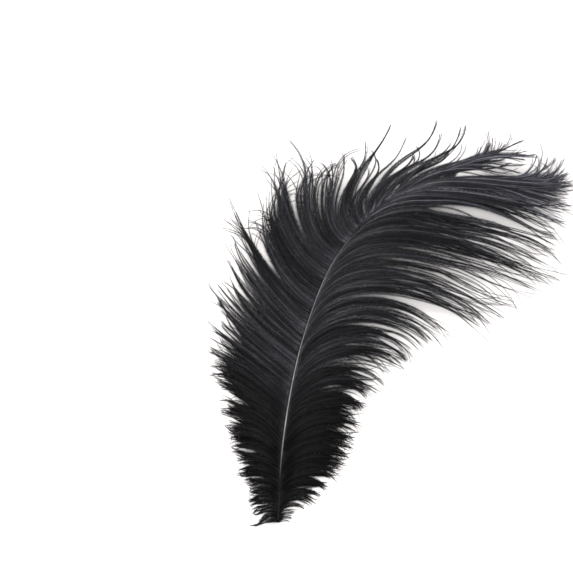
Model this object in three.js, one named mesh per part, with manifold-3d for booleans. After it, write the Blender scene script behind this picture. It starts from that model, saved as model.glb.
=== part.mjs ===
// An ostrich feather, dyed black, lying with its arched face up.
//
// The feather is one growth of keratin: a quill runs on into a shaft that bends over towards its
// end, and loose barbs leave the shaft on both sides. The barbs are too fine to be solids, so
// each group of a dozen or so that clings together is one pointed lock. The locks are fused to
// the shaft that they grow from, and the whole is one closed solid.
//
// Millimetres, +Z up. The feather lies on z = 0. Its quill points along -Y, and its end bends
// towards +X. The origin is on the surface below the middle of the feather's outline.

import * as THREE from "three";
import { mergeVertices } from "three/addons/utils/BufferGeometryUtils.js";
import Module from "manifold-3d";

// ---- Driving dimensions ----------------------------------------------------------------------

// The quill's cut end, seen from the middle of the outline.
const QUILL_END = { x: -63.4, y: -110.8 };

// The shaft's centreline from the quill's cut end: x, y and the height above the surface.
const SHAFT_LINE = [
  [0, 0, 0.9],
  [0.9, 15, 1],
  [1.8, 35, 4],
  [6, 67, 8.5],
  [13.2, 100, 12.5],
  [25.3, 134, 15.5],
  [38.5, 155, 17],
  [58.3, 175.6, 17],
  [81.4, 184, 15],
  [108.4, 187.6, 11],
];
const SHAFT_RADIUS = { quill: 0.95, middle: 0.48, end: 0.22 };
const SHAFT_TAPER = { begins: 0.02, middle: 0.5 }; // of the shaft's length
const SHAFT_SIDES = 8;
const SHAFT_STEPS = 28;

// How the barbs leave the shaft and lie, at places along it. Each row holds: the place, as a
// share of the shaft's length; the barb's length; the barb's heading at its root, at HEADING_AT[1],
// at HEADING_AT[2] and at its tip, in degrees from +X towards +Y; and its tip's height.
const HEADING_AT = [0, 0.3, 0.65, 1];
const RIGHT_BARBS = [
  [0.01, 8, 40, 15, -10, -35, 0.5],
  [0.05, 27, 56, 24, -6, -26, 0.5],
  [0.1, 38, 62, 30, -4, -28, 0.5],
  [0.2, 51, 68, 35, 0, -38, 0.5],
  [0.3, 69, 70, 33, -6, -42, 0.5],
  [0.4, 91, 68, 22, -14, -42, 0.5],
  [0.5, 122, 64, 6, -18, -32, 0.5],
  [0.6, 128, 60, 4, -16, -30, 0.5],
  [0.7, 119, 45, 0, -14, -27, 0.8],
  [0.8, 95, 30, 0, -10, -16, 1.5],
  [0.9, 71, 18, -2, -8, -4, 2],
  [1, 45, 4, -2, -4, 2, 3],
];
const LEFT_BARBS = [
  [0.01, 14, 160, 188, 208, 216, 0.5],
  [0.08, 20, 130, 165, 185, 192, 0.5],
  [0.15, 32, 118, 140, 165, 176, 0.5],
  [0.25, 50, 125, 140, 150, 156, 0.5],
  [0.35, 59, 140, 142, 136, 130, 0.8],
  [0.45, 66, 145, 132, 122, 112, 3],
  [0.55, 66, 150, 128, 108, 98, 6],
  [0.63, 65, 152, 114, 90, 88, 9],
  [0.7, 67, 146, 84, 58, 90, 11],
  [0.76, 65, 104, 55, 38, 86, 12],
  [0.82, 62, 62, 37, 26, 82, 13],
  [0.88, 60, 46, 27, 17, 76, 12],
  [0.93, 58, 34, 20, 12, 62, 10],
  [0.97, 53, 16, 5, -3, 16, 7],
  [1, 48, 8, 0, -4, 14, 4],
];

// These locks on the left don't curl up, but lie along the shaft's end in one bundle. Their
// lengths go evenly from the one to the other between the two places.
const BUNDLE = {
  locks: [26, 28],
  headings: [40, 20, 4, -2],
  places: [0.76, 0.93],
  lengths: [78, 50],
};

// A barb rises a little before it droops to its tip.
const ARCH = 0.035; // of the barb's length
const DROOP_POWER = 1.6;

// The locks along each side of the shaft, and how far each may differ from the rows above.
const LOCKS = { right: 34, left: 32 };
const SIDE_NUMBER = { right: 100, left: 200 }; // starts each side's count of locks
const LOCK_CROWDING = 1.22; // 1 spaces them evenly, and more crowds them towards the quill
const LOCK_UNEVEN = { place: 0.14, length: 0.07, heading: 3, lift: 1.5 };
const LOCK_STEPS = 6;
const WALK_STEPS = 8; // within each of those, so that the bend keeps its length
const LOCK_SIDES = 4;
const ROOT_BELOW_SHAFT = 0.5;

// A lock overlaps the next one up to where its point begins, and from there the two part.
const LOCK_OVERLAP = 1.25; // of the distance across to the next lock
const LOCK_WIDTH = { least: 3.2, most: 11, tip: 0.8 };
const LOCK_POINT_BEGINS = 0.55; // of the lock's length
const LOCK_POINT_POWER = 1.3;
const LOCK_THICKNESS = { root: 1.4, middle: 3.6, tip: 1.2 };

// The block below the surface that the locks' undersides are cut flat with.
const CUTTER = { side: 600, height: 20 };

// ---- Curves ------------------------------------------------------------------------------------

const lerp = THREE.MathUtils.lerp;
const radians = THREE.MathUtils.degToRad;

// A number from -1 to 1 that is always the same for one lock and one use.
function uneven(lock, use) {
  const turned = Math.sin(lock * 127.1 + use * 311.7) * 43758.5453;
  return 2 * (turned - Math.floor(turned)) - 1;
}

// The row of values at a place between rows, on a smooth curve through them.
function rowAt(rows, place) {
  const last = rows.length - 1;
  let i = 0;
  while (i < last - 1 && rows[i + 1][0] < place) i += 1;
  const [before, from, to, after] = [i - 1, i, i + 1, i + 2].map(
    (k) => rows[THREE.MathUtils.clamp(k, 0, last)],
  );
  const span = to[0] - from[0];
  const t = THREE.MathUtils.clamp((place - from[0]) / span, 0, 1);
  return from.map((value, k) => {
    const slopeIn = (to[k] - before[k]) / (to[0] - before[0]);
    const slopeOut = (after[k] - value) / (after[0] - from[0]);
    return (
      value * (2 * t ** 3 - 3 * t ** 2 + 1) +
      to[k] * (3 * t ** 2 - 2 * t ** 3) +
      span * slopeIn * (t ** 3 - 2 * t ** 2 + t) +
      span * slopeOut * (t ** 3 - t ** 2)
    );
  });
}

const shaftCurve = new THREE.CatmullRomCurve3(
  SHAFT_LINE.map((p) => new THREE.Vector3(...p)),
  false,
  "catmullrom",
);

// The shaft's radius: even along the quill, then thinner and thinner.
function shaftRadius(place) {
  const { quill, middle, end } = SHAFT_RADIUS;
  const taper = SHAFT_TAPER;
  return place < taper.middle
    ? lerp(quill, middle, THREE.MathUtils.smoothstep(place, taper.begins, taper.middle))
    : lerp(middle, end, (place - taper.middle) / (1 - taper.middle));
}

// A lock's length, its four headings and its tip's height, before its unevenness.
function lockRow(rows, place, lock) {
  const [, length, h0, h1, h2, h3, tipHeight] = rowAt(rows, place);
  if (!BUNDLE.locks.includes(lock - SIDE_NUMBER.left)) {
    return { length, headings: [h0, h1, h2, h3], tipHeight };
  }
  const { headings, places, lengths } = BUNDLE;
  const inBundle = THREE.MathUtils.mapLinear(place, ...places, ...lengths);
  return { length: inBundle, headings, tipHeight };
}

// A lock's centreline: points from its root in the shaft to its tip.
function lockLine(rows, place, lock) {
  const { length, headings, tipHeight } = lockRow(rows, place, lock);
  const own = length * (1 + LOCK_UNEVEN.length * uneven(lock, 2));
  const turn = LOCK_UNEVEN.heading * uneven(lock, 3);
  const lift = LOCK_UNEVEN.lift * uneven(lock, 4);
  const headingRows = HEADING_AT.map((t, k) => [t, headings[k]]);
  const root = shaftCurve.getPointAt(place);
  root.z -= ROOT_BELOW_SHAFT;
  const steps = LOCK_STEPS * WALK_STEPS;
  const points = [root.clone()];
  const at = root.clone();
  for (let i = 1; i <= steps; i += 1) {
    const t = (i - 0.5) / steps;
    const heading = radians(rowAt(headingRows, t)[1] + turn * t);
    at.x += (Math.cos(heading) * own) / steps;
    at.y += (Math.sin(heading) * own) / steps;
    if (i % WALK_STEPS) continue;
    const end = i / steps;
    const rise = (ARCH * own + lift) * Math.sin(Math.PI * end);
    const z = lerp(root.z, tipHeight, end ** DROOP_POWER) + rise;
    points.push(new THREE.Vector3(at.x, at.y, z));
  }
  return new THREE.CatmullRomCurve3(points, false, "catmullrom");
}

// ---- Solids ------------------------------------------------------------------------------------

// A closed cylinder bent along a curve. half(t) gives half its width and half its thickness there.
function bentRod(curve, sides, steps, half) {
  const rod = new THREE.CylinderGeometry(1, 1, 1, sides, steps);
  rod.deleteAttribute("normal");
  rod.deleteAttribute("uv");
  const geometry = mergeVertices(rod);
  const corners = geometry.getAttribute("position");
  const corner = new THREE.Vector3();
  const across = new THREE.Vector3();
  const up = new THREE.Vector3();
  for (let i = 0; i < corners.count; i += 1) {
    corner.fromBufferAttribute(corners, i);
    const t = THREE.MathUtils.clamp(corner.y + 0.5, 0, 1);
    const ahead = curve.getTangent(t);
    across.set(ahead.y, -ahead.x, 0).normalize();
    up.crossVectors(across, ahead);
    const { width, thickness } = half(t);
    const place = curve.getPoint(t);
    place.addScaledVector(across, corner.x * width);
    place.addScaledVector(up, corner.z * thickness);
    corners.setXYZ(i, place.x, place.y, place.z);
  }
  return geometry;
}

function shaft() {
  // The curve again by its length, so that the rod's rings are evenly spaced.
  const even = new THREE.CatmullRomCurve3(
    shaftCurve.getSpacedPoints(SHAFT_STEPS),
    false,
    "catmullrom",
  );
  return bentRod(even, SHAFT_SIDES, SHAFT_STEPS, (t) => ({
    width: shaftRadius(t),
    thickness: shaftRadius(t),
  }));
}

// A lock along one line, as wide as the vane needs to reach the next lock's line.
function lock(line, nextLine) {
  const apart = new THREE.Vector3();
  const { root, middle, tip } = LOCK_THICKNESS;
  return bentRod(line, LOCK_SIDES, LOCK_STEPS, (t) => {
    const ahead = line.getTangent(t);
    apart.subVectors(nextLine.getPoint(t), line.getPoint(t));
    const acrossToNext = Math.abs(apart.x * ahead.y - apart.y * ahead.x);
    const full = THREE.MathUtils.clamp(
      acrossToNext * LOCK_OVERLAP,
      LOCK_WIDTH.least,
      LOCK_WIDTH.most,
    );
    const intoPoint = Math.max(0, (t - LOCK_POINT_BEGINS) / (1 - LOCK_POINT_BEGINS));
    const swell = Math.sin(Math.PI * t);
    return {
      width: lerp(full, LOCK_WIDTH.tip, intoPoint ** LOCK_POINT_POWER) / 2,
      thickness: lerp(t < 0.5 ? root : tip, middle, swell) / 2,
    };
  });
}

// The centrelines of one side's locks, unevenly spaced along the shaft.
function lockLines(rows, count, side) {
  return Array.from({ length: count }, (_, i) => {
    const shift = LOCK_UNEVEN.place * uneven(i + side, 1);
    const place = ((i + 0.5 + shift) / count) ** LOCK_CROWDING;
    return lockLine(rows, place, i + side);
  });
}

function locksOf(rows, count, side) {
  const lines = lockLines(rows, count, side);
  return lines.map((line, i) => lock(line, lines[i + 1] ?? lines[i - 1]));
}

// ---- The feather -------------------------------------------------------------------------------

const wasm = await Module();
wasm.setup();

function solid(geometry) {
  return new wasm.Manifold(
    new wasm.Mesh({
      numProp: 3,
      vertProperties: geometry.getAttribute("position").array,
      triVerts: new Uint32Array(geometry.index.array),
    }),
  );
}

function geometryOf(manifold) {
  const { vertProperties, triVerts } = manifold.getMesh();
  const geometry = new THREE.BufferGeometry();
  geometry.setAttribute("position", new THREE.BufferAttribute(vertProperties, 3));
  geometry.setIndex(new THREE.BufferAttribute(triVerts, 1));
  geometry.computeVertexNormals();
  return geometry;
}

// What would reach below the surface is cut off flat, as a soft thing lies flat where it rests.
function surfaceCutter() {
  const slab = new THREE.BoxGeometry(CUTTER.side, CUTTER.side, CUTTER.height);
  slab.deleteAttribute("normal");
  slab.deleteAttribute("uv");
  return mergeVertices(slab.translate(0, 0, -CUTTER.height / 2));
}

// Pockets of air that crossing locks would shut in are left solid.
function withoutPockets(manifold) {
  const shells = manifold.decompose();
  return shells.reduce((most, shell) => (shell.volume() > most.volume() ? shell : most));
}

const grown = [
  shaft(),
  ...locksOf(RIGHT_BARBS, LOCKS.right, SIDE_NUMBER.right),
  ...locksOf(LEFT_BARBS, LOCKS.left, SIDE_NUMBER.left),
]
  .map(solid)
  .reduce((whole, piece) => whole.add(piece))
  .subtract(solid(surfaceCutter()));

const black = new THREE.MeshStandardMaterial({
  color: 0x1c1c1f,
  roughness: 0.6,
  metalness: 0,
});

const feather = new THREE.Mesh(geometryOf(withoutPockets(grown)), black);
feather.name = "feather";
feather.position.set(QUILL_END.x, QUILL_END.y, 0);

const group = new THREE.Group();
group.add(feather);

export default group;
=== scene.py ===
"""A black-dyed ostrich feather, lying with its arched face up on a pale floor.

The feather is one growth of keratin: a quill that runs on into a curved shaft, and on both sides
of it hundreds of loose barbs, each fringed with fine barbules. Neighbouring barbs cling together
in strands, and strands in pointed locks. Lengths are in millimetres until a mesh is made.
"""

import logging
import math
from dataclasses import dataclass
from enum import Enum
from typing import Any

import bmesh
import bpy
import numpy as np
from mathutils import Matrix, Vector


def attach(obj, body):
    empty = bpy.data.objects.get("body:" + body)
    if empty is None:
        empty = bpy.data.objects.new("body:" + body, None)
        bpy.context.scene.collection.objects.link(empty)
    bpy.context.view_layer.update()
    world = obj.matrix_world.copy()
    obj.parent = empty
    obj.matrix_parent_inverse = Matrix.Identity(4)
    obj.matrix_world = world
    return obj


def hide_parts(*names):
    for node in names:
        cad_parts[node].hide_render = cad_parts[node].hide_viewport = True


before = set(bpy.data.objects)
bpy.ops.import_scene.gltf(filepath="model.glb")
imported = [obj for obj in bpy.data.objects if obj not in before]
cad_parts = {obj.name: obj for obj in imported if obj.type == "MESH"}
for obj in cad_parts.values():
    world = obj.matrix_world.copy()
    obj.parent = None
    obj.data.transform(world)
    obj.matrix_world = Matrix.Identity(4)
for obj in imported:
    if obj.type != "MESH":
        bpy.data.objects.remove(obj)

logger = logging.getLogger("feather")

MM = 0.001
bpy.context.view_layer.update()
SEED = 11

# ---- The feather's plan, as the solid's source has it -------------------------------------------

QUILL_END = np.array([-63.4, -110.8, 0.0])
SHAFT_LINE = np.array([
    [0, 0, 0.9], [0.9, 15, 1], [1.8, 35, 4], [6, 67, 8.5], [13.2, 100, 12.5],
    [25.3, 134, 15.5], [38.5, 155, 17], [58.3, 175.6, 17], [81.4, 184, 15], [108.4, 187.6, 11],
])

# Each row: the place on the shaft, the barb's length, its headings in degrees from +X towards +Y
# at HEADING_AT of its length, and its tip's height.
HEADING_AT = np.array([0, 0.3, 0.65, 1])
RIGHT_BARBS = np.array([
    [0.01, 8, 40, 15, -10, -35, 0.5],
    [0.05, 27, 56, 24, -6, -26, 0.5],
    [0.1, 38, 62, 30, -4, -28, 0.5],
    [0.2, 51, 68, 35, 0, -38, 0.5],
    [0.3, 69, 70, 33, -6, -42, 0.5],
    [0.4, 91, 68, 22, -14, -42, 0.5],
    [0.5, 122, 64, 6, -18, -32, 0.5],
    [0.6, 128, 60, 4, -16, -30, 0.5],
    [0.7, 119, 45, 0, -14, -27, 0.8],
    [0.8, 95, 30, 0, -10, -16, 1.5],
    [0.9, 71, 18, -2, -8, -4, 2],
    [1, 45, 4, -2, -4, 2, 3],
])
LEFT_BARBS = np.array([
    [0.01, 14, 160, 188, 208, 216, 0.5],
    [0.08, 20, 130, 165, 185, 192, 0.5],
    [0.15, 32, 118, 140, 165, 176, 0.5],
    [0.25, 50, 125, 140, 150, 156, 0.5],
    [0.35, 59, 140, 142, 136, 130, 0.8],
    [0.45, 66, 145, 132, 122, 112, 3],
    [0.55, 66, 150, 128, 108, 98, 6],
    [0.63, 65, 152, 114, 90, 88, 9],
    [0.7, 67, 146, 84, 58, 90, 11],
    [0.76, 65, 104, 55, 38, 86, 12],
    [0.82, 62, 62, 37, 26, 82, 13],
    [0.88, 60, 46, 27, 17, 76, 12],
    [0.93, 58, 34, 20, 12, 62, 10],
    [0.97, 53, 16, 5, -3, 16, 7],
    [1, 48, 8, 0, -4, 14, 4],
])
ARCH = 0.035
DROOP_POWER = 1.6
LOCK_CROWDING = 1.22
LOCK_UNEVEN = {"length": 0.07, "heading": 3.0, "lift": 1.5}


class Side(Enum):
    """A side of the shaft. The value starts that side's count of locks."""

    RIGHT = 100
    LEFT = 200


def uneven(number: np.ndarray, use: int) -> np.ndarray:
    """A number from -1 to 1 that is always the same for one lock and one use."""
    turned = np.sin(number * 127.1 + use * 311.7) * 43758.5453
    return 2 * (turned - np.floor(turned)) - 1


def smoothstep(
    value: np.ndarray | float, start: np.ndarray | float, end: np.ndarray | float
) -> np.ndarray:
    """0 up to start, 1 from end on, and a smooth rise between them."""
    t = np.clip((value - start) / (end - start), 0, 1)
    return t * t * (3 - 2 * t)


def smooth_curve(
    start: np.ndarray, end: np.ndarray, slope_in: np.ndarray, slope_out: np.ndarray, t: np.ndarray
) -> np.ndarray:
    """Points of a cubic curve.

    Args:
        start: Its value where t is 0.
        end: Its value where t is 1.
        slope_in: Its slope where t is 0.
        slope_out: Its slope where t is 1.
        t: Where it is asked for.

    Returns:
        A value for each t.
    """
    return (
        start * (2 * t**3 - 3 * t**2 + 1)
        + end * (3 * t**2 - 2 * t**3)
        + slope_in * (t**3 - 2 * t**2 + t)
        + slope_out * (t**3 - t**2)
    )


def between_rows(rows: np.ndarray, places: np.ndarray) -> np.ndarray:
    """The rows' values at any places, on smooth curves through the rows.

    Args:
        rows: One row of values for each known place, which is the row's first value.
        places: The places that are asked for.

    Returns:
        One row of values for each place asked for.
    """
    last = len(rows) - 1
    i = np.clip(np.searchsorted(rows[:, 0], places, side="left") - 1, 0, last - 1)
    before, start = rows[np.maximum(i - 1, 0)], rows[i]
    end, after = rows[i + 1], rows[np.minimum(i + 2, last)]
    span = (end - start)[:, :1]
    t = np.clip((places[:, None] - start[:, :1]) / span, 0, 1)
    slope_in = (end - before) / (end - before)[:, :1]
    slope_out = (after - start) / (after - start)[:, :1]
    return smooth_curve(start, end, span * slope_in, span * slope_out, t)


# ---- Materials ------------------------------------------------------------------------------------


class Value:
    """A number in a material. Python's operators on it add Math nodes."""

    def __init__(self, nodes: "Nodes", socket: bpy.types.NodeSocket) -> None:
        """Wraps a socket of one of the nodes."""
        self.nodes = nodes
        self.socket = socket

    def math(self, operation: str, *operands: Any) -> "Value":
        """The result of a Math node on the operands."""
        node = self.nodes.add("ShaderNodeMath", {"operation": operation}, dict(enumerate(operands)))
        return Value(self.nodes, node.outputs[0])

    def __add__(self, other: Any) -> "Value":
        """self + other."""
        return self.math("ADD", self, other)

    def __radd__(self, other: Any) -> "Value":
        """other + self."""
        return self.math("ADD", other, self)

    def __sub__(self, other: Any) -> "Value":
        """self - other."""
        return self.math("SUBTRACT", self, other)

    def __rsub__(self, other: Any) -> "Value":
        """other - self."""
        return self.math("SUBTRACT", other, self)

    def __mul__(self, other: Any) -> "Value":
        """self * other."""
        return self.math("MULTIPLY", self, other)

    def __rmul__(self, other: Any) -> "Value":
        """other * self."""
        return self.math("MULTIPLY", other, self)

    def rise(self, start: float, end: float) -> "Value":
        """0 where the value is at start, 1 where it is at end, and a smooth change between."""
        node = self.nodes.add(
            "ShaderNodeMapRange",
            {"interpolation_type": "SMOOTHSTEP"},
            {"Value": self, "From Min": start, "From Max": end},
        )
        return Value(self.nodes, node.outputs["Result"])


class Nodes:
    """The nodes of one material."""

    def __init__(self, name: str) -> None:
        """Starts a material with only its output and its Principled shader."""
        self.material = bpy.data.materials.new(name)
        self.material.use_nodes = True
        self.tree = self.material.node_tree
        self.tree.nodes.clear()
        self.shader = self.add("ShaderNodeBsdfPrincipled")
        self.add("ShaderNodeOutputMaterial", inputs={"Surface": self.shader.outputs[0]})

    def add(
        self,
        kind: str,
        settings: dict[str, Any] | None = None,
        inputs: dict[Any, Any] | None = None,
    ) -> bpy.types.Node:
        """Adds one node.

        Args:
            kind: The node's type.
            settings: The node's own settings.
            inputs: What each input socket holds: a number, a colour, a socket or a Value.

        Returns:
            The new node.
        """
        node = self.tree.nodes.new(kind)
        for name, setting in (settings or {}).items():
            setattr(node, name, setting)
        for name, value in (inputs or {}).items():
            self.fill(node.inputs[name], value)
        return node

    def fill(self, socket: bpy.types.NodeSocket, value: Any) -> None:
        """Links a socket to a Value or another socket, or sets its number or colour."""
        source = value.socket if isinstance(value, Value) else value
        if isinstance(source, bpy.types.NodeSocket):
            self.tree.links.new(source, socket)
        else:
            socket.default_value = source

    def attribute(self, name: str) -> Value:
        """A number that the mesh carries."""
        return Value(self, self.add("ShaderNodeAttribute", {"attribute_name": name}).outputs["Fac"])

    def mix(self, factor: Any, first: Any, second: Any) -> bpy.types.NodeSocket:
        """The first colour where the factor is 0, and the second where it is 1."""
        node = self.add("ShaderNodeMix", {"data_type": "RGBA"}, {0: factor, 6: first, 7: second})
        return node.outputs[2]

    def noise(self, vector: bpy.types.NodeSocket, scale: float, detail: float) -> Value:
        """A noise from 0 to 1. The larger its scale, the finer it is."""
        inputs = {"Vector": vector, "Scale": scale, "Detail": detail}
        return Value(self, self.add("ShaderNodeTexNoise", inputs=inputs).outputs["Fac"])

    def finish(self, **inputs: Any) -> bpy.types.Material:
        """Fills the shader's sockets, named with _ for each space, and returns the material."""
        for name, value in inputs.items():
            self.fill(self.shader.inputs[name.replace("_", " ")], value)
        return self.material


def colour(*rgb: float) -> tuple[float, float, float, float]:
    """An opaque colour."""
    return (*rgb, 1.0)


@dataclass(frozen=True)
class DyedBarbs:
    """Black-dyed barbs: charcoal, and deeper black at the tips.

    Attributes:
        vane: The charcoal.
        tip: The deeper black.
        darkens: Where along a barb it starts to darken, and where it is at its darkest.
        roughness: The roughness of the darkest barbs.
        shine: How strongly the barbs reflect.
        patch_scale: How fine the patches of weaker dye are.
        patch_light: How light the dye is at the least, and how much more a patch can be.
        tone_gloss: How much less rough a lighter barb is.
        patch_dull: How much rougher a patch is.
    """

    vane: tuple[float, ...] = colour(0.0058, 0.0058, 0.0069)
    tip: tuple[float, ...] = colour(0.0038, 0.0038, 0.0046)
    darkens: tuple[float, float] = (0.5, 1.0)
    roughness: float = 0.48
    shine: float = 0.085
    patch_scale: float = 260.0
    patch_light: tuple[float, float] = (0.6, 0.8)
    tone_gloss: float = 0.12
    patch_dull: float = 0.18

    def material(self) -> bpy.types.Material:
        """The barbs' material, which reads how far along its barb and how light a point is."""
        nodes = Nodes("dyed_barbs")
        along = nodes.attribute("along")
        tone = nodes.attribute("tone")
        place = nodes.add("ShaderNodeTexCoord").outputs["Object"]
        patches = nodes.noise(place, self.patch_scale, 3.0)
        base = nodes.mix(along.rise(*self.darkens), self.vane, self.tip)
        least, more = self.patch_light
        scaled = nodes.add(
            "ShaderNodeMix",
            {"data_type": "RGBA", "clamp_factor": False},
            {0: tone * (least + more * patches), 6: colour(0.0, 0.0, 0.0), 7: base},
        )
        return nodes.finish(
            Base_Color=scaled.outputs[2],
            Roughness=self.roughness - self.tone_gloss * tone + self.patch_dull * patches,
            Specular_IOR_Level=self.shine,
        )


@dataclass(frozen=True)
class StainedHorn:
    """Grey-brown horn with a lengthwise grain, stained by the dye at the quill and far end.

    Pairs named `_from_to` are where a change starts and where it is full: places on the shaft,
    or values of the noise or of the crown.

    Attributes:
        horn: The plain horn.
        grain: The darker streaks in it.
        dye_and_shade: The dye where it has soaked in, and the painted shade on the shaft's flanks.
        far_end: The horn towards the shaft's end.
        roughness: The middle roughness.
        grain_rough: How much the roughness differs between streaks.
        shine: How strongly the horn reflects.
        grain_scale: How fine the streaks are, round the shaft and along it.
        grain_bump: How strongly the streaks stand out.
        grain_depth: How deep they are, in metres.
        patch_scale: How fine the patches of dye are.
        patch_stain: How strongly a patch is dyed.
        edge_wander: How unevenly the changes along the shaft start.
        dimmed: How far the horn has turned to its far end's colour before `far_from_to`.
        flank_shade: How strongly the shaft's flanks are darkened: painted shade that leaves only the
            top light.
    """

    horn: tuple[float, ...] = colour(0.27, 0.257, 0.246)
    grain: tuple[float, ...] = colour(0.16, 0.151, 0.145)
    dye_and_shade: tuple[float, ...] = colour(0.005, 0.005, 0.006)
    far_end: tuple[float, ...] = colour(0.045, 0.045, 0.047)
    roughness: float = 0.42
    grain_rough: float = 0.2
    shine: float = 0.07
    grain_scale: tuple[float, float, float] = (9.0, 46.0, 1.0)
    grain_bump: float = 0.25
    grain_depth: float = 0.0001
    grain_from_to: tuple[float, float] = (0.35, 0.65)
    patch_scale: float = 190.0
    patch_stain: float = 0.3
    patch_from_to: tuple[float, float] = (0.55, 0.75)
    edge_wander: float = 0.05
    clear_from_to: tuple[float, float] = (0.09, 0.24)
    dimmed: float = 0.5
    dim_from_to: tuple[float, float] = (0.33, 0.45)
    far_from_to: tuple[float, float] = (0.6, 0.7)
    flank_shade: float = 0.9
    crown_from_to: tuple[float, float] = (0.86, 1.0)

    def material(self) -> bpy.types.Material:
        """The shaft's material, which reads how far along the shaft a point is."""
        nodes = Nodes("stained_horn")
        along = nodes.attribute("along")
        uv = nodes.add("ShaderNodeUVMap", {"uv_map": "OFBake"}).outputs[0]
        mapping = {"Vector": uv, "Scale": self.grain_scale}
        stretched = nodes.add("ShaderNodeMapping", inputs=mapping).outputs[0]
        streaks = nodes.noise(stretched, 1.0, 4.0)
        place = nodes.add("ShaderNodeTexCoord").outputs["Object"]
        patches = nodes.noise(place, self.patch_scale, 2.0)
        horn = nodes.mix(streaks.rise(*self.grain_from_to), self.horn, self.grain)
        where = along + self.edge_wander * (patches - 0.5)
        horn = nodes.mix(1 - where.rise(*self.clear_from_to), horn, self.dye_and_shade)
        horn = nodes.mix(self.dimmed * where.rise(*self.dim_from_to), horn, self.far_end)
        horn = nodes.mix(where.rise(*self.far_from_to), horn, self.far_end)
        horn = nodes.mix(self.patch_stain * patches.rise(*self.patch_from_to), horn, self.dye_and_shade)
        # Painted shade on the shaft's flanks, so that only its top shows light.
        flanks = 1 - nodes.attribute("crown").rise(*self.crown_from_to)
        horn = nodes.mix(self.flank_shade * flanks, horn, self.dye_and_shade)
        relief = {"Strength": self.grain_bump, "Distance": self.grain_depth, "Height": streaks}
        bump = nodes.add("ShaderNodeBump", inputs=relief)
        return nodes.finish(
            Base_Color=horn,
            Roughness=self.roughness + self.grain_rough * (streaks - 0.5),
            Normal=bump.outputs[0],
            Specular_IOR_Level=self.shine,
        )


@dataclass(frozen=True)
class PaleFloor:
    """A plain, nearly white floor."""

    paint: tuple[float, ...] = colour(0.69, 0.667, 0.655)
    roughness: float = 0.8
    shine: float = 0.1

    def material(self) -> bpy.types.Material:
        """The floor's material."""
        return Nodes("pale_floor").finish(
            Base_Color=self.paint, Roughness=self.roughness, Specular_IOR_Level=self.shine
        )


# ---- The shaft ------------------------------------------------------------------------------------


def report(piece: bpy.types.Object) -> None:
    """Ties a finished piece to the frame, and logs it."""
    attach(piece, "root")
    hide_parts("feather")
    logger.info("%s: %d faces", piece.name, len(piece.data.polygons))


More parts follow.
